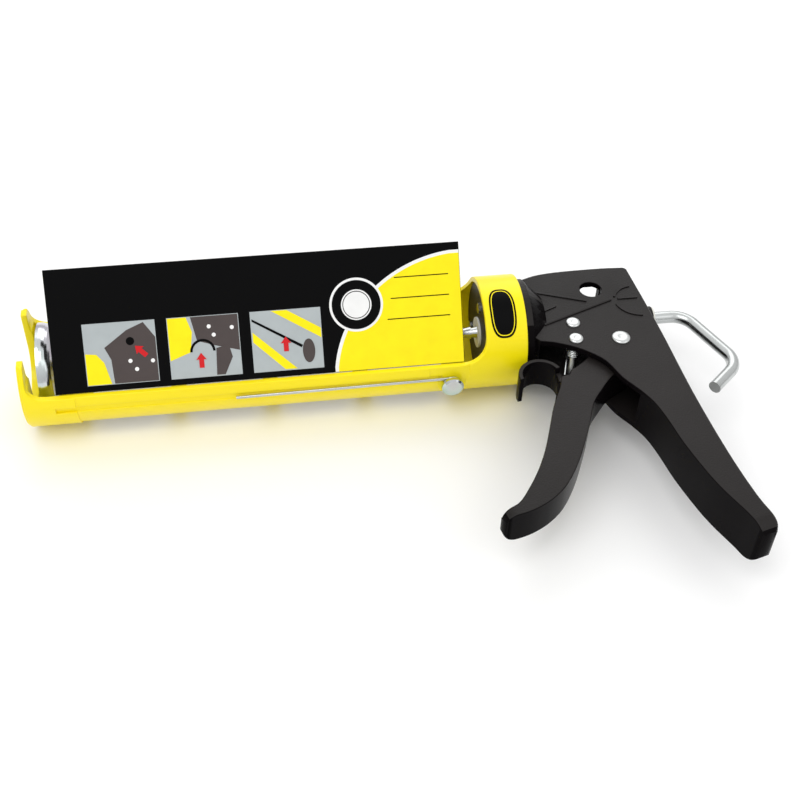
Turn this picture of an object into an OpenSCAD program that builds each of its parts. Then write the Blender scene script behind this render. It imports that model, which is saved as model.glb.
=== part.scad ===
// Skeleton caulking gun for 310 ml cartridges.
// The gun lies on its side: X runs back along the push rod, Y runs up the
// handle and away from the trigger, Z points out of the side that faces up.
// The origin is on the rod axis, where the cradle meets the handle.

/* [Cradle] */
// outside radius of the half pipe that holds the cartridge
cradle_r = 29; // [27:0.1:32]
// wall of the half pipe
cradle_wall = 2.7; // [2:0.1:4]
// distance from the origin to the front face of the nose
nose_x = 247.5; // [220:0.5:280]
// height of the rail edges above the rod axis
rail_z = 4; // [0:0.5:8]
// width of the nozzle slot in the nose
nozzle_slot = 33; // [20:1:36]

/* [Rod] */
// radius of the push rod over the teeth
rod_r = 3.25; // [3:0.05:4]
// pitch of the ratchet teeth
tooth_pitch = 4; // [3:0.5:6]
// depth of a ratchet tooth
tooth_depth = 0.8; // [0.5:0.1:1]
// radius of the piston disc
disc_r = 22; // [20:0.5:24]

/* [Handle] */
// thickness of the handle body
body_t = 26; // [24:0.5:32]
// wall of the hollow upper body
body_wall = 3; // [2:0.25:4]
// thickness of the trigger
trigger_t = 18; // [14:0.5:20]
// radius of the spout cutter hole
cutter_r = 5.8; // [5:0.1:7]

/* [Hidden] */
$fn = 48;
eps = 0.01;
run = 0.05;                          // radial clearance of a running pin
slip = 0.3;                          // clearance of a sliding or turning fit
bore_r = cradle_r - cradle_wall;     // inside of the half pipe
half_t = body_t / 2;
cavity = half_t - body_wall;         // half width inside the body
trig_h = trigger_t / 2;

pivot = [51, -27];                   // trigger pivot pin
hold = [29.4, -13];                  // holding pawl pin
anchor = [28, -25];                  // return spring pin
drive = [48, -14];                   // drive pawl pin on the trigger
cutter = [45.3, 12.2];               // spout cutter hole
wire_x = -35.5;                      // pin of the piercing wire
wire_z = -7;
plate_x = -16.8;                     // front face of the cartridge stop
disc_x = -237;                       // near the rim of the piston cup
rod_front = -236.5;
hook = [[95, 0], [112, -39], [94, -55]];
bend_r = 12;
hook_x = 80;                          // where the hook starts on the rod

// colours
yellow = [0.98, 0.86, 0.02];
black = [0.09, 0.08, 0.09];
zinc = [0.78, 0.80, 0.80];
steel = [0.60, 0.61, 0.62];
bush_white = [0.88, 0.88, 0.84];

// a round bar along X
module bar_x(x0, x1, r) {
    translate([x0, 0, 0]) rotate([0, 90, 0]) cylinder(h = x1 - x0, r = r);
}

// a round bar along Z at a place on the handle
module bar_z(p, z0, z1, r) {
    translate([p[0], p[1], z0]) cylinder(h = z1 - z0, r = r);
}

// a block between two corners
module block(a, b) {
    translate(a) cube(b - a);
}

// a straight wire between two points
module wire_leg(a, b, r) {
    d = b - a;
    l = norm(d);
    translate(a)
        rotate([0, acos(d[2] / l), atan2(d[1], d[0])])
            cylinder(h = l, r = r, $fn = 20);
}

// the points of an arc, counter-clockwise
function arc(c, r, a0, a1, n) =
    [for (i = [0:n]) c + r * [cos(a0 + (a1 - a0) * i / n), sin(a0 + (a1 - a0) * i / n)]];

// a smooth closed curve through a few points, k pieces to a span
function unit(v) = v / norm(v);
function tangent(p, i) =
    unit(p[(i + 1) % len(p)] - p[(i + len(p) - 1) % len(p)]);
function smooth(p, k) =
    [for (i = [0:len(p) - 1]) for (j = [0:k - 1])
        let (a = p[i], b = p[(i + 1) % len(p)], l = norm(b - a), t = j / k)
            a * (2 * t * t * t - 3 * t * t + 1) + b * (3 * t * t - 2 * t * t * t)
            + tangent(p, i) * l * (t * t * t - 2 * t * t + t)
            + tangent(p, (i + 1) % len(p)) * l * (t * t * t - t * t)];

// ---------- cradle ----------

// everything above the rails: the mouth of the cradle, seen from the side
module mouth() {
    rotate([90, 0, 0]) translate([0, 0, -40]) linear_extrude(80)
        polygon(concat(
            [[-18, 40], [-18, 16]],
            arc([-30, 16], 12, 0, -90, 10),
            arc([-236.5, rail_z + 8], 8, 270, 180, 8),
            [[-244.5, 20], [-260, 20], [-260, 40]]));
}

module cradle() {
    window_x = [-218, -170, -122, -74];
    color(yellow) difference() {
        union() {
            bar_x(-nose_x, 3, cradle_r, $fn = 72);
            // stiffening band around the nose
            bar_x(-nose_x + 1, -222, cradle_r + 0.7);
            // boss under the piercing wire
            translate([wire_x, -22, wire_z]) rotate([90, 0, 0])
                cylinder(h = 6.5, r = 7.5);
        }
        // cartridge space and the bore for the neck
        bar_x(-nose_x + 4, -14, bore_r, $fn = 72);
        bar_x(-11, 4, bore_r, $fn = 72);
        bar_x(-15, -10, 23.5, $fn = 72);
        mouth();
        // slot for the nozzle
        block([-260, -nozzle_slot / 2, 0], [-nose_x + 5, nozzle_slot / 2, 30]);
        bar_x(-260, -nose_x + 5, nozzle_slot / 2);
        // windows through the back of the half pipe
        for (x = window_x)
            block([x, -19.5, -40], [x + 40, 19.5, -8]);
        // groove that the piercing wire folds into
        block([-232, -31, -5.6], [-41, -27.9, -2]);
        // flat seat that its eye turns on
        block([-47, -31, -5.6], [-27, -28.62, 5]);
        // hole for the rivet
        translate([wire_x, -20, wire_z]) rotate([90, 0, 0]) cylinder(h = 12, r = 3.1);
    }
}

// the card leans on the near rail and stands clear of the piston
module display_card() {
    card_t = 0.8;
    lean = 55;
    inner = disc_r + 0.5;
    bottom = -11.5;
    top = 49;
    flap = 19;
    color([0.03, 0.03, 0.03]) rotate([lean, 0, 0]) {
        block([-231, bottom, inner], [-29, top, inner + card_t]);
        // folded over the top edge
        block([-231, top - card_t, inner - card_t], [-29, top, inner + eps]);
        block([-231, top - flap, inner - 2 * card_t], [-29, top, inner - card_t + eps]);
    }
}

module wire_rivet() {
    color(zinc) translate([wire_x, 0, wire_z]) rotate([90, 0, 0]) {
        translate([0, 0, 22.5]) cylinder(h = 9, r = 3.1);
        translate([0, 0, 30.8]) cylinder(h = 1.6, r = 5.6);
        translate([0, 0, 32.4 - eps]) cylinder(h = 0.8, r1 = 5.6, r2 = 4.6);
    }
}

module piercing_wire() {
    r = 0.9;
    eye = 4.1;
    color(zinc) {
        translate([wire_x, -29.6, wire_z]) rotate([90, 0, 0])
            rotate_extrude() translate([eye, 0]) circle(r = r, $fn = 20);
        wire_leg([wire_x - 1, -29.6, wire_z + eye - 0.15], [-144.5, -29.6, -4], r - 0.1);
    }
}

// ---------- push rod and piston ----------

// the profile of the ratchet teeth, a sawtooth along the rod
function teeth(x0, n) =
    [for (i = [0:n - 1]) each [[x0 + i * tooth_pitch, rod_r],
                               [x0 + i * tooth_pitch + 0.2, rod_r - tooth_depth],
                               [x0 + (i + 1) * tooth_pitch, rod_r]]];

// directions of the two legs of the hook, and how far each bend turns
down = unit(hook[1] - hook[0]);
back = unit(hook[2] - hook[1]);
turn_a = acos(down[0]);
turn_b = acos(down * back);
tan_a = bend_r * tan(turn_a / 2);
tan_b = bend_r * tan(turn_b / 2);

// a bend of the bar in the plane of the handle, turning clockwise
module bend(c, from, turn) {
    translate([c[0], c[1], 0]) rotate([0, 0, from - turn])
        rotate_extrude(angle = turn) translate([bend_r, 0]) circle(r = rod_r + 0.03, $fn = 28);
}

module push_rod() {
    n = 70;
    x0 = -225;
    // straight bar with ratchet teeth; the profile is turned about X
    color(zinc) rotate([0, 90, 0]) rotate_extrude($fn = 20)
        polygon(concat(
            [[0, rod_front], [2.4, rod_front], [2.4, -230.5], [rod_r, -230.5]],
            [for (p = teeth(x0, n)) [p[1], p[0]]],
            [[rod_r, hook_x], [0, hook_x]]));
}

// bent end that the rod is pulled back and hung up by
module rod_hook() {
    end_x = hook[0][0] - tan_a;
    d0 = concat(down, 0);
    b0 = concat(back, 0);
    p1 = concat(hook[0], 0);
    p2 = concat(hook[1], 0);
    p3 = concat(hook[2], 0);
    color(zinc) {
        wire_leg([hook_x, 0, 0], [end_x + 0.4, 0, 0], rod_r);
        bend([end_x, -bend_r], 90, turn_a);
        wire_leg(p1 + (tan_a - 0.4) * d0, p2 - (tan_b - 0.4) * d0, rod_r);
        bend(hook[1] - tan_b * down + bend_r * [down[1], -down[0]], 90 - turn_a, turn_b);
        wire_leg(p2 + (tan_b - 0.4) * b0, p3, rod_r);
    }
}

// pressed cup, open towards the nose
module piston_disc() {
    t = 1.2;
    back_x = -230.8;
    bend = 7;
    flat_r = disc_r - bend;
    c = [flat_r, back_x - bend];
    color(zinc) rotate([0, 90, 0]) rotate_extrude($fn = 56) polygon(concat(
        [[2.45, back_x], [flat_r, back_x]],
        arc(c, bend, 84, 0, 7),
        [[disc_r, disc_x - 2.2], [disc_r - t, disc_x - 2.2]],
        arc(c, bend - t, 0, 84, 7),
        [[flat_r, back_x - t], [2.45, back_x - t]]));
}

module piston_nut() {
    x1 = disc_x + 4.6;
    color(steel) difference() {
        bar_x(x1 - 3, x1, 4.2);
        bar_x(x1 - 4, x1 + 1, 2.45);
    }
}

module piston_washer() {
    color(steel) difference() {
        bar_x(-230.75, -229.4, 7);
        bar_x(-232, -228, rod_r + 0.1);
    }
}

// ---------- handle ----------

// side view of the handle, neck end first
function handle_outline() = concat(
    [[6, 22], [12, 25.5], [20, 28], [33, 29.3], [56, 29.6], [66, 29]],
    arc([66.5, 26], 3, 80, 10, 4),
    [[72.2, -5], [74, -30], [76, -68], [80, -109], [84.5, -137]],
    arc([83.6, -152], 5, 15, -150, 8),
    [[75.5, -145], [70, -133], [66, -122], [60.5, -101.5]],
    [[57.5, -85], [54.5, -73.5], [50, -64.5], [44, -55], [39, -42.5]],
    [[32, -35], [24.5, -29.8], [16, -26], [8, -22.5]]);

// what is cut off to round the corners at an end, across the width
module end_corner(half, r, len) {
    for (s = [-1, 1]) difference() {
        block([-1, -len, s > 0 ? half - r : -half - 1], [r, len, s > 0 ? half + 1 : -half + r]);
        translate([r, 0, s * (half - r)]) rotate([90, 0, 0])
            cylinder(h = 2 * len + 2, r = r, center = true, $fn = 48);
    }
}

module handle_body() {
    color(black) difference() {
        union() {
            translate([0, 0, -half_t]) linear_extrude(body_t) polygon(smooth(handle_outline(), 3));
            // neck that the cradle turns on
            bar_x(-10.6, 7, bore_r - slip, $fn = 72);
            bar_x(-14.3, -10.5, 23.2, $fn = 72);
            translate([7 - eps, 0, 0]) rotate([0, 90, 0])
                cylinder(h = 9, r1 = bore_r - slip, r2 = 17, $fn = 72);
            // boss around the rod at the back
            bar_x(68, 76.5, 6.5);
            // raised ribs on both sides
            for (s = [-1, 1]) side_ribs(s);
        }
        // rounded end of the grip
        translate([84, -157, 0]) rotate([0, 0, 90 + 15]) end_corner(half_t, 9, 14);
        // hollow of the upper body, open underneath
        translate([0, 0, -cavity]) linear_extrude(2 * cavity) polygon([
            [12, 22], [20, 24.5], [33, 25.6], [65, 25.6], [68, 4], [69.5, -34],
            [66, -54], [47, -68], [30, -50], [8, -30], [12, -18]]);
        // hollow of the neck
        bar_x(-20, 13, 9);
        // rod through the back
        bar_x(60, 80, 4.6);
        // pins
        bar_z(pivot, -20, 20, 3.6);
        bar_z(hold, -20, 20, 2.1);
        bar_z(anchor, -20, 20, 2.1);
        // spout cutter hole and the slot that cut tips drop out of
        bar_z(cutter, 0, 20, cutter_r);
        block([cutter[0] - 6, 22, -cavity], [cutter[0] + 10, 32, 3]);
        // screw holes for the cartridge stop
        for (a = [90, 210, 330])
            translate([0, 16.5 * cos(a), 16.5 * sin(a)]) bar_x(-20, -6, 1.25, $fn = 20);
    }
}

// a raised line between two points on the side of the handle
module rib(p, q, s) {
    d = q - p;
    z0 = s > 0 ? half_t - 0.2 : -half_t - 0.5;
    translate([p[0], p[1], z0]) rotate([0, 0, atan2(d[1], d[0])])
        translate([0, -0.6, 0]) cube([norm(d), 1.2, 0.7]);
}

// a curved rib, from one angle round to another
module rib_arc(c, r, a0, a1, s) {
    z0 = s > 0 ? half_t - 0.2 : -half_t - 0.5;
    translate([c[0], c[1], z0]) rotate([0, 0, a0])
        rotate_extrude(angle = a1 - a0, $fn = 60) translate([r - 0.6, 0]) square([1.2, 0.7]);
}

module side_ribs(s) {
    rib([14, 13.1], [40.6, 2.9], s);
    rib([14.5, -13], [53.6, 2.5], s);
    rib([57.4, 3], [68, 3], s);
    rib([16.5, -2.4], [23.5, 0.8], s);
    rib_arc([68, 1.5], 12.5, 192, 266, s);
    rib_arc([67.5, 0], 12.4, 96, 158, s);
}

// stop that closes the neck, keeps the cradle on and backs the cartridge
module front_plate() {
    color(black) difference() {
        bar_x(plate_x, -14.3, bore_r - 0.5, $fn = 72);
        bar_x(-18, -13, 6);
        for (a = [90, 210, 330])
            translate([0, 16.5 * cos(a), 16.5 * sin(a)]) bar_x(-18, -13, 1.6, $fn = 20);
    }
}

module front_plate_screws() {
    color(zinc) for (a = [90, 210, 330])
        translate([0, 16.5 * cos(a), 16.5 * sin(a)]) {
            bar_x(-18.2, plate_x, 2.8, $fn = 24);
            bar_x(plate_x - eps, -8, 1.25, $fn = 20);
        }
}

module front_bush() {
    color(bush_white) difference() {
        union() {
            bar_x(plate_x, -8, 6);
            bar_x(-17.8, plate_x + eps, 8);
        }
        bar_x(-19, -7, rod_r + slip);
    }
}

module rear_bush() {
    color(bush_white) difference() {
        union() {
            bar_x(67.5, 76.5, 4.6);
            bar_x(76.5 - eps, 77.5, 6);
        }
        bar_x(60, 80, rod_r + slip);
    }
}

// a headed pin across the body, riveted on the far side
module side_pin(p, r, head) {
    color(zinc) {
        bar_z(p, -half_t - 0.2, half_t + 0.2, r);
        for (s = [0, 1]) mirror([0, 0, s])
            translate([p[0], p[1], half_t]) {
                cylinder(h = 0.6, r = head);
                translate([0, 0, 0.6 - eps]) cylinder(h = 0.7, r1 = head, r2 = head * 0.6);
            }
    }
}

module trigger_pivot_pin() { side_pin(pivot, 3.6, 4.7); }
module holding_pawl_pin() { side_pin(hold, 2.1, 3.7); }
module spring_pin() { side_pin(anchor, 2.1, 3.7); }

// coil around its pin with a long leg hooked to the trigger
module return_spring() {
    r = 0.6;
    coil = 3.2;
    color(zinc) {
        for (i = [0:3]) translate([anchor[0], anchor[1], 3.2 + i * 1.1])
            rotate_extrude($fn = 32) translate([coil, 0]) circle(r = r, $fn = 12);
        wire_leg([anchor[0] - coil, anchor[1] + 1, 6.5], [18.2, -44, 6.5], r - 0.08);
        wire_leg([anchor[0] + coil, anchor[1] - 1, 3.2], [anchor[0] + coil, -16.5, 3.2], r - 0.08);
    }
}

// a pawl lying under the rod: round eye, arm and a tooth at the tip
module pawl(p, reach, t) {
    tip_y = -rod_r - 0.4;
    translate([0, 0, -t / 2]) difference() {
        union() {
            translate([p[0], p[1], 0]) cylinder(h = t, r = 4);
            linear_extrude(t) polygon([
                [p[0] + 1, p[1] + 3.8], [p[0] - reach + 3, tip_y - 2.5], [p[0] - reach, tip_y],
                [p[0] - reach - 1.4, tip_y - 1.6], [p[0] - 3.2, p[1] - 2.4]]);
        }
        bar_z(p, -1, t + 1, 2.1 + run);
    }
}

module holding_pawl() { color(steel) pawl(hold, 6, 5); }

module holding_pawl_spring() {
    color(zinc) {
        translate([hold[0], hold[1], 4.2]) rotate_extrude($fn = 32)
            translate([3.3, 0]) circle(r = 0.5, $fn = 12);
        wire_leg([hold[0] - 3.3, hold[1], 4.2], [hold[0] - 8, hold[1] - 6, 4.2], 0.5);
    }
}

// ---------- trigger ----------

function trigger_outline() = concat(
    [[17, -45], [23, -42], [31, -36], [42, -24], [44, -13], [46, -8.5], [52, -9]],
    [[59, -19], [60.5, -28], [57, -38], [49, -44.5], [41, -49.5], [33.5, -58]],
    [[27.2, -66.5], [21.7, -79.7], [17, -90], [9.5, -104.7], [1.6, -116.4]],
    [[-6, -123.5], [-13.5, -128], [-20, -130.5], [-27, -132]],
    arc([-28.4, -129.2], 3, 270, 160, 5),
    [[-23.5, -125], [-17.5, -118], [-10, -106.5], [-4, -94.7], [1, -82.2]],
    [[5.5, -70], [8.9, -62.5], [13, -54.5]]);

module trigger() {
    color(black) difference() {
        union() {
            translate([0, 0, -trig_h]) linear_extrude(trigger_t) polygon(smooth(trigger_outline(), 3));
            // finger guard that hooks over the index finger
            translate([0, 0, -8]) linear_extrude(16) polygon(concat(
                arc([6.3, -43.5], 11.4, -38, 192, 18), arc([6.3, -43.5], 9.2, 192, -38, 18)));
            // cheek beside the rod that carries the blade
            translate([0, 0, 5]) linear_extrude(3)
                polygon([[50, -16], [60, -16], [62, 19], [53.5, 19]]);
        }
        // rounded tip
        translate([-31.4, -129.2, 0]) rotate([0, 0, 12]) end_corner(trig_h, 7, 9);
        // slot for the drive pawl, open towards the rod
        translate([0, 0, -3.2]) linear_extrude(6.4)
            polygon([[30, -2], [30, -21], [54, -21], [56, -2]]);
        bar_z(pivot, -20, 20, 3.6 + run);
        bar_z(drive, -20, 20, 2.1);
        // room for the return spring
        translate([0, 0, 4]) linear_extrude(10) polygon([[10, -41], [10, -47.5], [20, -46], [24, -38]]);
    }
}

module drive_pawl() { color(steel) pawl(drive, 5.5, 5); }

module drive_pawl_pin() {
    color(zinc) bar_z(drive, -trig_h, trig_h, 2.1);
}

module drive_pawl_spring() {
    color(zinc) {
        translate([drive[0] - 1, drive[1] - 6.4, 0]) rotate([90, 0, 0]) for (i = [0:1])
            translate([0, 0, -1.4 + i * 0.9]) rotate_extrude($fn = 24)
                translate([1.8, 0]) circle(r = 0.5, $fn = 12);
    }
}

// knife that shears the tip off a nozzle pushed in through the hole
module cutter_blade() {
    color(steel) difference() {
        translate([0, 0, 8.05]) linear_extrude(1.2)
            polygon([[52, 3], [52.6, 19.5], [61.5, 19.5], [60.5, -10], [53, -10]]);
        for (y = [-6, 0]) bar_z([57, y], 4, 12, 1.2);
    }
}

module blade_rivets() {
    color(zinc) for (y = [-6, 0]) {
        bar_z([57, y], 5.2, 9.3, 1.2);
        bar_z([57, y], 9.24, 9.75, 2);
    }
}

cradle();
display_card();
wire_rivet();
piercing_wire();
push_rod();
rod_hook();
piston_disc();
piston_nut();
piston_washer();
handle_body();
front_plate();
front_plate_screws();
front_bush();
rear_bush();
trigger_pivot_pin();
holding_pawl_pin();
spring_pin();
return_spring();
holding_pawl();
holding_pawl_spring();
trigger();
drive_pawl();
drive_pawl_pin();
drive_pawl_spring();
cutter_blade();
blade_rivets();
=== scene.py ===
"""The looks of the caulking gun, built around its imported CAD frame.

The gun lies on its side on a pale table. X runs back along the push rod, Y up the
handle, and Z out of the side that faces up. Lengths are in metres.
"""
import math

import bmesh
import bpy
from mathutils import Matrix, Vector


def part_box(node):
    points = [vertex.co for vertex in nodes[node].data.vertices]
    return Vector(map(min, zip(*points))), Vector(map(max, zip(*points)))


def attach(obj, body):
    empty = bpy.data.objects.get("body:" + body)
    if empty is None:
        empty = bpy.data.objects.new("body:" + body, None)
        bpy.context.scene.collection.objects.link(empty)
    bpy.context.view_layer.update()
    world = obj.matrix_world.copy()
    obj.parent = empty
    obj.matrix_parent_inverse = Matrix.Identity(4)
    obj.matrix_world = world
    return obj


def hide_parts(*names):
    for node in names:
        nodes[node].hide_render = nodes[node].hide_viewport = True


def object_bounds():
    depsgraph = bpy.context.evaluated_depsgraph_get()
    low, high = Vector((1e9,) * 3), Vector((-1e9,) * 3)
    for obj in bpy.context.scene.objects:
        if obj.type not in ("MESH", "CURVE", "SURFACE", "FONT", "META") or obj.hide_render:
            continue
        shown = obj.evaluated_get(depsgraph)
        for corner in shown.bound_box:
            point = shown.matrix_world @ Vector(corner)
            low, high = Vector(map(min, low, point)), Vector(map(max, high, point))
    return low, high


MM = 0.001
PIN_HEAD = 1.3 * MM             # how far a riveted pin's head stands off the handle
LONG_RUN = 200 * MM             # a run of edges longer than this is a body's outline
SHARP = 50                      # an edge that turns more degrees than this is rounded
SIDE = 0.7                      # a face whose normal is more than this along Z is a side
LAYER = 0.06 * MM               # thickness of one printed layer

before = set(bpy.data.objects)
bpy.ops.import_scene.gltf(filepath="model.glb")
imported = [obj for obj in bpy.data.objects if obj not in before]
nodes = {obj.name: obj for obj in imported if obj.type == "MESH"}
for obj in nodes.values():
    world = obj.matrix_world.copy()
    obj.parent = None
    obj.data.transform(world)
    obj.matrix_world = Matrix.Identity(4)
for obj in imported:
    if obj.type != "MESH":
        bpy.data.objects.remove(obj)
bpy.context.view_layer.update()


# ---------- camera ----------

def make_camera():
    """Stands in front of the gun and above it, turned a little so that the rod rises."""
    place = Vector((-142.3, -478.8, 438.3)) * MM
    look = Vector((0.1247, 0.6980, -0.7052)).normalized()
    right = Vector((0.9886, -0.1479, 0.0285)).normalized()
    up = right.cross(look).normalized()
    data = bpy.data.cameras.new("camera")
    data.lens = 56.7
    data.sensor_width = 36
    data.clip_start = 0.01
    camera = bpy.data.objects.new("camera", data)
    turn = Matrix((right, up, -look)).transposed()
    camera.matrix_world = Matrix.Translation(place) @ turn.to_4x4()
    bpy.context.scene.collection.objects.link(camera)
    bpy.context.scene.camera = camera


# ---------- materials ----------

class Shader:
    """A principled material with short calls for the nodes that feed it."""

    def __init__(self, name, **values):
        self.material = bpy.data.materials.new(name)
        self.material.use_nodes = True
        self.tree = self.material.node_tree
        self.bsdf = self.tree.nodes["Principled BSDF"]
        for key, value in values.items():
            self.bsdf.inputs[key.replace("_", " ")].default_value = value
        self.place = self.add("ShaderNodeTexCoord").outputs["Object"]

    def add(self, kind, **inputs):
        node = self.tree.nodes.new(kind)
        for key, value in inputs.items():
            self.feed(node.inputs[key.replace("_", " ")], value)
        return node

    def feed(self, socket, value):
        """Links another node's output, or sets a constant on the socket itself."""
        if isinstance(value, bpy.types.NodeSocket):
            self.tree.links.new(value, socket)
        else:
            socket.default_value = value

    def noise(self, scale, detail=3.0, stretch=(1, 1, 1)):
        mapped = self.add("ShaderNodeMapping", Vector=self.place)
        mapped.inputs["Scale"].default_value = stretch
        return self.add("ShaderNodeTexNoise", Vector=mapped.outputs[0],
                        Scale=scale, Detail=detail).outputs["Fac"]

    def ramp(self, fac, low, high):
        """A colour between low and high, over the middle part of a noise's range."""
        node = self.add("ShaderNodeValToRGB", Fac=fac)
        first, last = node.color_ramp.elements
        first.position, last.position = 0.3, 0.7
        first.color, last.color = low, high
        return node.outputs["Color"]

    def spread(self, fac, low, high):
        """A value between low and high."""
        node = self.add("ShaderNodeMapRange", Value=fac)
        node.inputs["To Min"].default_value = low
        node.inputs["To Max"].default_value = high
        return node.outputs["Result"]

    def bump(self, height, strength, distance):
        node = self.add("ShaderNodeBump", Height=height, Strength=strength)
        node.inputs["Distance"].default_value = distance
        self.feed(self.bsdf.inputs["Normal"], node.outputs["Normal"])


def grey(v):
    return (v, v, v, 1)


def plastic(name, low, high, rough, grain, grain_scale, gloss=0.5):
    """Moulded plastic: faint flow marks in the colour and a moulded grain."""
    s = Shader(name, IOR=1.5, Specular_IOR_Level=gloss)
    s.feed(s.bsdf.inputs["Base Color"], s.ramp(s.noise(9, 4, (0.5, 1, 1)), low, high))
    s.feed(s.bsdf.inputs["Roughness"], s.spread(s.noise(60, 3), rough - 0.05, rough + 0.07))
    s.bump(s.noise(grain_scale, 2), grain, 0.0002)
    return s.material


def metal(name, tone, rough, stretch, brush):
    """Bright metal with a drawn grain and faint clouding in its finish."""
    s = Shader(name, Metallic=1.0)
    low = tuple(0.82 * c for c in tone) + (1,)
    s.feed(s.bsdf.inputs["Base Color"], s.ramp(s.noise(45, 4), low, tuple(tone) + (1,)))
    s.feed(s.bsdf.inputs["Roughness"], s.spread(s.noise(140, 3, stretch), rough, rough + 0.14))
    s.bump(s.noise(700, 2, stretch), brush, 0.00005)
    return s.material


def passivated(name):
    """Zinc plate with the faint green, blue and rose tints of its passivation."""
    s = Shader(name, Metallic=1.0)
    tint = s.add("ShaderNodeValToRGB", Fac=s.noise(38, 2))
    ramp = tint.color_ramp
    ramp.elements[0].color = (0.36, 0.55, 0.50, 1)
    ramp.elements[1].color = (0.58, 0.50, 0.58, 1)
    ramp.elements[0].position, ramp.elements[1].position = 0.32, 0.68
    ramp.elements.new(0.5).color = (0.60, 0.66, 0.66, 1)
    s.feed(s.bsdf.inputs["Base Color"], tint.outputs["Color"])
    s.feed(s.bsdf.inputs["Roughness"], s.spread(s.noise(90, 3), 0.10, 0.22))
    s.bump(s.noise(400, 2), 0.08, 0.00005)
    return s.material


def print_ink(name, colour, rough=0.28, gloss=0.4):
    """Ink on varnished board: even colour with a little mottle and orange peel."""
    s = Shader(name, Specular_IOR_Level=gloss)
    low = tuple(0.93 * c for c in colour) + (1,)
    s.feed(s.bsdf.inputs["Base Color"], s.ramp(s.noise(120, 3), low, tuple(colour) + (1,)))
    s.feed(s.bsdf.inputs["Roughness"], s.spread(s.noise(30, 2), rough, rough + 0.1))
    s.bump(s.noise(180, 2), 0.06, 0.0002)
    return s.material


YELLOW = plastic("yellow_plastic", (0.92, 0.73, 0.0, 1), (0.98, 0.82, 0.004, 1),
                 0.30, 0.10, 500, gloss=0.34)
BLACK = plastic("black_textured", (0.0085, 0.0070, 0.0066, 1), (0.014, 0.0115, 0.011, 1),
                0.44, 0.9, 1300, gloss=0.22)
# The edges' smooth black: its smoothness is real, but its base colour, darker than the textured
# black of the sides, is painted shade on faces that turn away from the lamps above.
SMOOTH_SHADED_BLACK = plastic("black_smooth_painted_shade", (0.0022, 0.0017, 0.0020, 1), (0.0045, 0.0035, 0.0040, 1),
                0.24, 0.06, 700, gloss=0.035)
NYLON = plastic("nylon", (0.70, 0.69, 0.62, 1), (0.80, 0.79, 0.73, 1), 0.42, 0.1, 400)
ZINC = metal("bright_zinc", (0.60, 0.62, 0.615), 0.16, (0.15, 1, 1), 0.12)
RIVET = metal("zinc_rivet", (0.66, 0.675, 0.67), 0.24, (1, 1, 1), 0.35)
STEEL = metal("steel", (0.55, 0.56, 0.57), 0.26, (0.2, 1, 1), 0.2)
DISH = passivated("passivated_zinc")
INK_BLACK = print_ink("ink_black", (0.0018, 0.0018, 0.002), 0.30, 0.06)
INK_YELLOW = print_ink("ink_yellow", (0.98, 0.82, 0.006), 0.3, 0.2)
INK_WHITE = print_ink("ink_white", (0.88, 0.88, 0.87))
INK_GREY = print_ink("ink_grey", (0.42, 0.46, 0.47))
INK_BROWN = print_ink("ink_brown", (0.075, 0.060, 0.058), 0.3, 0.2)
INK_RED = print_ink("ink_red", (0.62, 0.015, 0.02), 0.3, 0.2)


# ---------- helpers for pieces ----------

def piece(name, mesh, body, slot, *materials):
    """A finished mesh as an object that moves with a CAD body."""
    obj = bpy.data.objects.new(name, mesh)
    bpy.context.scene.collection.objects.link(obj)
    for material in materials:
        mesh.materials.append(material)
    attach(obj, body)
    return obj


def smooth_by_angle(mesh, degrees=32):
    mesh.shade_smooth()
    mesh.set_sharp_from_angle(angle=math.radians(degrees))


def loops_of(edges):
    """Groups of edges that run on from one another."""
    left = set(edges)
    groups = []
    while left:
        group, queue = [], [left.pop()]
        while queue:
            edge = queue.pop()
            group.append(edge)
            for vert in edge.verts:
                for other in vert.link_edges:
                    if other in left:
                        left.remove(other)
                        queue.append(other)
        groups.append(group)
    return groups


def softened(node, body, slot, wanted, outer, inner, *materials, choose=None):
    """A copy of a CAD node with its wanted sharp edges rounded.

    A run of edges longer than LONG_RUN takes the outer radius, in millimetres, and a
    shorter one the inner. choose(face) gives the index of the material that a face takes.
    """
    mesh = nodes[node].data.copy()
    mesh.materials.clear()
    for material in materials:
        mesh.materials.append(material)
    bm = bmesh.new()
    bm.from_mesh(mesh)
    bmesh.ops.remove_doubles(bm, verts=bm.verts, dist=1e-6)
    bmesh.ops.dissolve_limit(bm, angle_limit=math.radians(0.4), verts=bm.verts,
                             edges=bm.edges)
    weight = bm.edges.layers.float.new("bevel_weight_edge")
    sharp = [e for e in bm.edges if len(e.link_faces) == 2
             and e.calc_face_angle_signed(0.0) > math.radians(SHARP)
             and wanted((e.verts[0].co + e.verts[1].co) / 2)]
    for group in loops_of(sharp):
        length = sum(e.calc_length() for e in group)
        for edge in group:
            edge[weight] = 1.0 if length > LONG_RUN else inner / outer
    for face in bm.faces:
        face.material_index = choose(face) if choose else 0
    bm.to_mesh(mesh)
    bm.free()
    obj = piece(node + "_shell", mesh, body, slot)
    smooth_by_angle(mesh)
    bevel = obj.modifiers.new("rounded edges", "BEVEL")
    bevel.limit_method = "WEIGHT"
    bevel.width = outer * MM
    bevel.segments = 4
    bevel.use_clamp_overlap = False
    obj.modifiers.new("even normals", "WEIGHTED_NORMAL").keep_sharp = True
    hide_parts(node)


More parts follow.
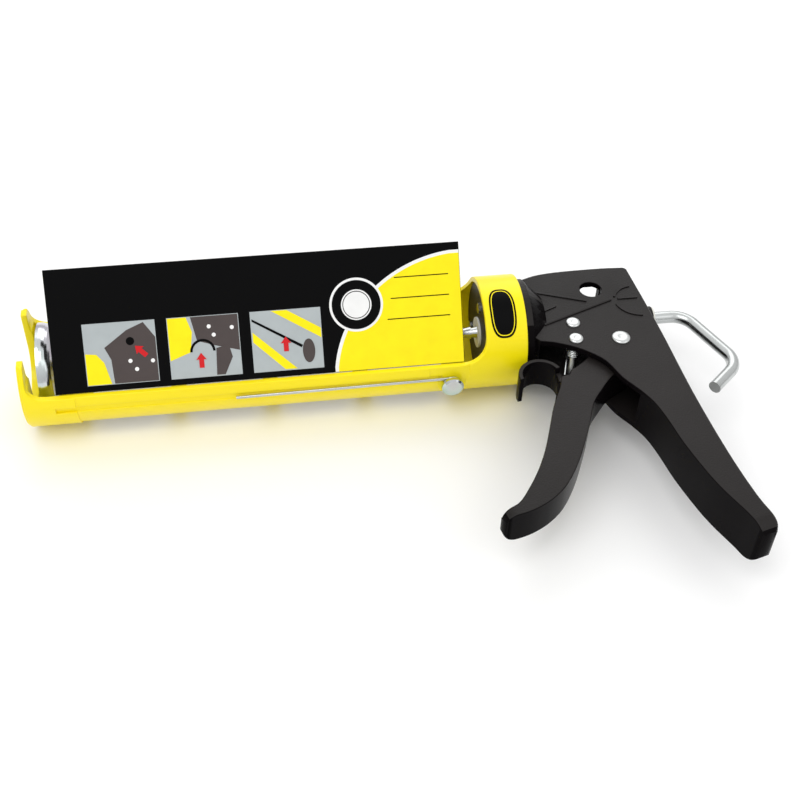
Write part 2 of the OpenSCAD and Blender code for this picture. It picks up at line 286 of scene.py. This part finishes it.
def lathe(points, segments):
    """A closed ring of (radius, height) points turned about Z, as a bmesh."""
    bm = bmesh.new()
    rings = []
    for i in range(segments):
        a = math.tau * i / segments
        rings.append([bm.verts.new((r * math.cos(a), r * math.sin(a), h)) for r, h in points])
    n = len(points)
    for i in range(segments):
        here, there = rings[i], rings[(i + 1) % segments]
        for j in range(n):
            k = (j + 1) % n
            bm.faces.new((here[j], there[j], there[k], here[k]))
    bmesh.ops.remove_doubles(bm, verts=bm.verts, dist=1e-7)
    bmesh.ops.recalc_face_normals(bm, faces=bm.faces)
    return bm


def finish_mesh(bm, name, matrix=None, degrees=32):
    if matrix is not None:
        bm.transform(matrix)
    mesh = bpy.data.meshes.new(name)
    bm.to_mesh(mesh)
    bm.free()
    smooth_by_angle(mesh, degrees)
    return mesh


# ---------- body pieces ----------

def dress_cad_nodes():
    """Materials for the CAD nodes that are shown as they are."""
    looks = {
        "push_rod": ZINC, "rod_hook": ZINC, "piercing_wire": ZINC, "return_spring": ZINC,
        "piston_disc": DISH, "piston_nut": STEEL, "piston_washer": STEEL,
        "wire_rivet": DISH, "front_plate": BLACK, "front_plate_screws": ZINC,
        "front_bush": NYLON, "rear_bush": NYLON, "holding_pawl": STEEL,
        "holding_pawl_spring": ZINC, "drive_pawl": STEEL, "drive_pawl_pin": ZINC,
        "drive_pawl_spring": ZINC, "cutter_blade": STEEL, "blade_rivets": ZINC,
        "display_card": INK_BLACK,
    }
    for name, material in looks.items():
        mesh = nodes[name].data
        mesh.materials.clear()
        mesh.materials.append(material)
        smooth_by_angle(mesh)


def textured_or_shaded(face):
    """Index of a face's material: the flat sides are textured, and the edges smooth with a darker
    base colour that is painted shade.
    """
    return 0 if abs(face.normal.z) > SIDE else 1


def near(value, level):
    return abs(value - level) < 0.1 * MM


def make_handle():
    """The handle, with the edges of its two sides and of the grip's end rounded."""
    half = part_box("spring_pin")[1].z - PIN_HEAD         # half of the handle's thickness
    grip_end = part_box("handle_body")[0].y + 12 * MM     # where the grip's round end starts
    grip_core = 3.9 * MM                                # edges nearer the middle stay sharp

    def wanted(p):
        return near(abs(p.z), half) or (p.y < grip_end and abs(p.z) > grip_core)

    softened("handle_body", "handle", "black_plastic", wanted, 1.6, 0.5, BLACK, SMOOTH_SHADED_BLACK,
             choose=textured_or_shaded)


def make_trigger():
    """The trigger, with the edges of its sides and tip rounded outside the handle."""
    low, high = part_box("trigger")
    guard = 8 * MM                                      # half of the finger guard's width
    tip, tip_core = low.x + 8 * MM, 1.9 * MM
    mechanism = (20 * MM, -30 * MM)                     # corner of what the handle hides

    def wanted(p):
        on_side = near(abs(p.z), high.z) or near(abs(p.z), guard)
        on_tip = p.x < tip and abs(p.z) > tip_core
        in_handle = p.x > mechanism[0] and p.y > mechanism[1]
        return (on_side or on_tip) and not in_handle

    softened("trigger", "trigger", "black_plastic", wanted, 1.2, 0.5, BLACK, SMOOTH_SHADED_BLACK,
             choose=textured_or_shaded)


def make_cradle():
    softened("cradle", "cradle", "yellow_plastic", lambda p: True, 0.45, 0.45, YELLOW)


def make_rivet_heads():
    """Domed heads with a small dimple, in place of the plain CAD pins."""
    for name in ("trigger_pivot_pin", "holding_pawl_pin", "spring_pin"):
        low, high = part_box(name)
        centre = (low + high) / 2
        head = (high.x - low.x) / 2
        top = high.z
        rim = top - PIN_HEAD
        dimple = [(0.0, top - 0.25 * MM), (head * 0.28, top - 0.12 * MM), (head * 0.40, top)]
        dome = []
        for i in range(7):
            a = math.radians(12 + 13 * i)
            dome.append((head * (0.55 + 0.45 * math.sin(a)),
                         rim + 0.25 * MM + (PIN_HEAD - 0.27 * MM) * math.cos(a)))
        profile = dimple + dome + [(head, rim), (head * 0.55, rim)]
        mirrored = [(r, 2 * centre.z - h) for r, h in reversed(profile)]
        bm = lathe(profile + mirrored, 56)
        mesh = finish_mesh(bm, name + "_head", Matrix.Translation((centre.x, centre.y, 0)), 40)
        obj = piece(name + "_head", mesh, "handle", "zinc", RIVET)
        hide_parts(name)


# ---------- the printed card ----------

class Card:
    """Places flat printed shapes on the face of the display card."""

    def __init__(self):
        mesh = nodes["display_card"].data
        face = max(mesh.polygons, key=lambda p: p.area * (p.normal.z > 0.2))
        self.normal = face.normal.copy()
        self.along = Vector((1, 0, 0))
        self.up = self.normal.cross(self.along).normalized()
        level = face.center.dot(self.normal)
        flat = [v.co for v in mesh.vertices if abs(v.co.dot(self.normal) - level) < 1e-5]
        xs = [p.x for p in flat]
        us = [p.dot(self.up) for p in flat]
        self.width, self.height = max(xs) - min(xs), max(us) - min(us)
        self.corner = (self.along * min(xs) + self.up * min(us) + self.normal * level)

    def shape(self, name, outline, layer, material, hole=None):
        """A thin solid on the card. Outlines are (along, up) points in millimetres.

        A hole has as many points as the outline around it.
        """
        bm = bmesh.new()
        n = len(outline)

        def ring(points, level):
            lift = self.normal * LAYER * level
            return [bm.verts.new(self.corner + self.along * x * MM + self.up * y * MM + lift)
                    for x, y in points]

        if hole:
            top = [ring(loop, layer + 1) for loop in (outline, hole)]
            low = [ring(loop, layer) for loop in (outline, hole)]
            for i in range(n):
                k = (i + 1) % n
                bm.faces.new((top[0][i], top[0][k], top[1][k], top[1][i]))
                bm.faces.new((low[0][k], low[0][i], low[1][i], low[1][k]))
                bm.faces.new((low[0][i], low[0][k], top[0][k], top[0][i]))
                bm.faces.new((top[1][i], top[1][k], low[1][k], low[1][i]))
        else:
            top = ring(outline, layer + 1)
            low = ring(outline, layer)
            bm.faces.new(top)
            bm.faces.new(list(reversed(low)))
            for i in range(n):
                k = (i + 1) % n
                bm.faces.new((low[i], low[k], top[k], top[i]))
        bmesh.ops.recalc_face_normals(bm, faces=bm.faces)
        mesh = finish_mesh(bm, name, degrees=20)
        piece(name, mesh, "cradle", "card", material)


def circle(centre, r, n=64):
    return [(centre[0] + r * math.cos(math.tau * i / n),
             centre[1] + r * math.sin(math.tau * i / n)) for i in range(n)]


def rect(x, y, w, h):
    return [(x, y), (x + w, y), (x + w, y + h), (x, y + h)]


def sweep(card_w, card_h, radius):
    """The right end of the card, bounded on its left by a round sweep."""
    centre = (card_w + 2, -6.0)
    flatten = 1.08
    margin = 0.2
    points = []
    for i in range(33):
        a = math.radians(96 + 84 * i / 32)
        x = centre[0] + radius * math.cos(a) * flatten
        y = centre[1] + radius * math.sin(a)
        if 0.25 < y < card_h - 0.25 and x < card_w - margin:
            points.append((x, y))
    return points + [(points[-1][0], margin), (card_w - margin, margin),
                     (card_w - margin, points[0][1])]


def print_card():
    card = Card()
    w, h = card.width / MM, card.height / MM
    sweep_r, white_edge = 63, 1.6
    card.shape("card_sweep_edge", sweep(w, h, sweep_r), 1, INK_WHITE)
    card.shape("card_sweep", sweep(w, h, sweep_r - white_edge), 2, INK_YELLOW)
    # round seal: discs of falling size and a thin ring
    seal = (0.738 * w, 0.545 * h)
    card.shape("card_seal_rim", circle(seal, 13.4), 3, INK_WHITE)
    card.shape("card_seal_band", circle(seal, 12.2), 4, INK_BLACK)
    card.shape("card_seal_heart", circle(seal, 7.6), 5, INK_WHITE)
    card.shape("card_seal_ring", circle(seal, 6.9), 6, INK_BLACK, hole=circle(seal, 6.5))
    # rules on the yellow field, each longer than the one above
    for i in range(3):
        longer = 2.2 * i
        rule = rect(0.835 * w - longer, (0.74 - 0.17 * i) * h, 0.135 * w + longer, 0.5)
        card.shape("card_rule_%d" % i, rule, 3, INK_BLACK)
    for i, draw in enumerate((cutter_picture, trigger_picture, rod_picture)):
        draw(Panel(card, i, (0.077 + 0.2 * i) * w, 0.05 * h, 0.172 * w, 0.5 * h))


class Panel:
    """A grey picture panel. Its points are parts of its width and height."""

    def __init__(self, card, i, x, y, w, h):
        self.card, self.i = card, i
        self.x, self.y, self.w, self.h = x, y, w, h
        card.shape("card_panel_%d" % i, rect(x, y, w, h), 1, INK_GREY)

    def at(self, a, b):
        return (self.x + self.w * a, self.y + self.h * b)

    def add(self, name, outline, layer, material):
        self.card.shape("card_picture_%d_%s" % (self.i, name), outline, layer, material)

    def area(self, name, points, layer, material):
        self.add(name, [self.at(a, b) for a, b in points], layer, material)

    def rivets(self, *places):
        for a, b in places:
            self.add("rivet_%d" % int(100 * a), circle(self.at(a, b), 1.0, 24), 3, INK_WHITE)

    def arrow(self, a, b, degrees):
        """A red arrow with its tip at (a, b)."""
        tip = self.at(a, b)
        turn = math.radians(degrees) - math.pi / 2
        c, s = math.cos(turn), math.sin(turn)
        outline = [(0, 0), (-2.6, -3.4), (-1.2, -3.2), (-1.2, -7.4), (1.2, -7.4), (1.2, -3.2),
                   (2.6, -3.4)]
        self.add("arrow", [(tip[0] + c * x - s * y, tip[1] + s * x + c * y) for x, y in outline],
                 4, INK_RED)


def cutter_picture(panel):
    """The handle's neck with the hole that cuts a nozzle."""
    panel.area("collar", [(0.01, 0.01), (0.34, 0.01), (0.26, 0.36), (0.16, 0.5), (0.01, 0.52)],
               2, INK_YELLOW)
    panel.area("body", [(0.38, 0.01), (0.99, 0.01), (0.99, 0.72), (0.84, 0.97), (0.6, 0.86),
                        (0.28, 0.6), (0.36, 0.4)], 2, INK_BROWN)
    panel.rivets((0.62, 0.36), (0.70, 0.22), (0.93, 0.34))
    panel.add("hole", circle(panel.at(0.64, 0.68), 2.0, 32), 3, INK_BLACK)
    panel.arrow(0.70, 0.60, 135)


def trigger_picture(panel):
    """The trigger and its finger guard."""
    panel.area("collar", [(0.01, 0.3), (0.3, 0.42), (0.34, 0.75), (0.27, 0.99), (0.01, 0.99)],
               2, INK_YELLOW)
    panel.area("body", [(0.4, 0.6), (0.66, 0.5), (0.99, 0.4), (0.99, 0.99), (0.33, 0.99)],
               2, INK_BROWN)
    panel.rivets((0.58, 0.82), (0.64, 0.68), (0.9, 0.78))
    x, y = panel.at(0.47, 0.42)
    there, back = range(0, 181, 12), range(180, -1, -12)
    panel.add("guard", [(x + r * math.cos(math.radians(d)), y + r * math.sin(math.radians(d)))
                        for r, angles in ((6.2, there), (5.0, back)) for d in angles],
              3, INK_BLACK)
    panel.area("trigger", [(0.64, 0.02), (0.76, 0.02), (0.88, 0.3), (0.84, 0.5), (0.66, 0.46)],
               3, INK_BROWN)
    panel.arrow(0.44, 0.40, 90)


def rod_picture(panel):
    """The cradle's two rails with the push rod and its piston between them."""
    panel.area("rail_a", [(0.30, 0.99), (0.99, 0.50), (0.99, 0.66), (0.52, 0.99)], 2, INK_YELLOW)
    panel.area("rail_b", [(0.02, 0.5), (0.02, 0.66), (0.62, 0.02), (0.45, 0.02)], 2, INK_YELLOW)
    panel.area("rod", [(0.02, 0.84), (0.02, 0.88), (0.72, 0.40), (0.7, 0.36)], 3, INK_BLACK)
    x, y = panel.at(0.80, 0.30)
    turns = [math.tau * i / 32 for i in range(32)]
    panel.add("disc", [(x + 2.6 * math.cos(a) - 1.6 * math.sin(a),
                        y + 3.2 * math.cos(a) + 5.0 * math.sin(a)) for a in turns], 3, INK_BROWN)
    panel.arrow(0.48, 0.56, 90)


# ---------- pad on the collar ----------

def collar_pad():
    """A plain black oval on the collar with a fine yellow line inside its edge."""
    radius = 29 * MM                        # of the collar's outside
    centre_x, centre_turn = -8.6 * MM, math.radians(61)
    half_x, half_turn = 6.6 * MM, 13.5 * MM / radius
    squareness = 0.72                       # 1 is an ellipse, less is squarer
    thick, line_thick = 0.12 * MM, 0.05 * MM

    def soften(v):
        return math.copysign(abs(v) ** squareness, v)

    def oval(scale_x, scale_t, n=72):
        points = []
        for i in range(n):
            a = math.tau * i / n
            points.append((half_x * scale_x * soften(math.cos(a)),
                           half_turn * scale_t * soften(math.sin(a))))
        return points

    def on_collar(p, lift):
        turn = centre_turn + p[1]
        r = radius + lift
        return (centre_x + p[0], -r * math.cos(turn), r * math.sin(turn))

    def patch(name, rings, lift, thick, material):
        bm = bmesh.new()
        levels = []
        for h in (lift + thick, lift):
            levels.append([[bm.verts.new(on_collar(p, h)) for p in oval(*ring)] for ring in rings])
        top, under = levels
        n = len(top[0])
        for i in range(n):
            k = (i + 1) % n
            for j in range(len(rings) - 1):
                bm.faces.new((top[j][i], top[j][k], top[j + 1][k], top[j + 1][i]))
                bm.faces.new((under[j][k], under[j][i], under[j + 1][i], under[j + 1][k]))
            bm.faces.new((under[0][i], under[0][k], top[0][k], top[0][i]))
            bm.faces.new((top[-1][i], top[-1][k], under[-1][k], under[-1][i]))
        bmesh.ops.recalc_face_normals(bm, faces=bm.faces)
        piece(name, finish_mesh(bm, name, degrees=30), "cradle", "card", material)

    full = [(s, s) for s in (1.0, 0.8, 0.6, 0.4, 0.2, 0.002)]
    patch("collar_pad", full, 0.0, thick, INK_BLACK)
    patch("collar_pad_line", [(0.86, 0.92), (0.80, 0.885)], thick, line_thick, INK_YELLOW)


# ---------- stage ----------

def make_stage():
    """A pale floor under the gun, a bright room and three soft lamps."""
    floor_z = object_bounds()[0][2] - 0.2 * MM
    bpy.ops.mesh.primitive_plane_add(size=60, location=(0, 0, floor_z))
    floor = bpy.context.object
    floor.name = "floor"
    s = Shader("floor", Roughness=0.6)
    s.feed(s.bsdf.inputs["Base Color"], s.ramp(s.noise(3), grey(0.90), grey(0.94)))
    floor.data.materials.append(s.material)

    world = bpy.data.worlds.new("studio")
    world.use_nodes = True
    tree = world.node_tree
    tree.nodes["Background"].inputs["Color"].default_value = (1, 1, 1, 1)
    direction = tree.nodes.new("ShaderNodeTexCoord")
    split = tree.nodes.new("ShaderNodeSeparateXYZ")
    rise = tree.nodes.new("ShaderNodeMapRange")
    rise.inputs["From Min"].default_value, rise.inputs["From Max"].default_value = -0.1, 0.75
    rise.inputs["To Min"].default_value, rise.inputs["To Max"].default_value = 0.62, 0.95
    tree.links.new(direction.outputs["Generated"], split.inputs["Vector"])
    tree.links.new(split.outputs["Z"], rise.inputs["Value"])
    tree.links.new(rise.outputs["Result"], tree.nodes["Background"].inputs["Strength"])
    bpy.context.scene.world = world

    middle = Vector((-0.06, -0.05, 0))
    for name, place, size, power in (("key", (-0.5, -0.5, 1.3), 0.9, 5.5),
                                     ("fill", (0.9, -0.7, 0.9), 1.0, 2.0),
                                     ("back", (0.1, 1.1, 0.9), 1.1, 4.5)):
        data = bpy.data.lights.new(name, "AREA")
        data.shape = "SQUARE"
        data.size = size
        data.energy = power
        lamp = bpy.data.objects.new(name, data)
        lamp.location = place
        aim = middle - Vector(place)
        lamp.rotation_euler = aim.to_track_quat("-Z", "Y").to_euler()
        bpy.context.scene.collection.objects.link(lamp)
    view = bpy.context.scene.view_settings
    view.view_transform = "Standard"
    view.look = "None"


make_camera()
dress_cad_nodes()
make_handle()
make_trigger()
make_cradle()
make_rivet_heads()
print_card()
collar_pad()
make_stage()
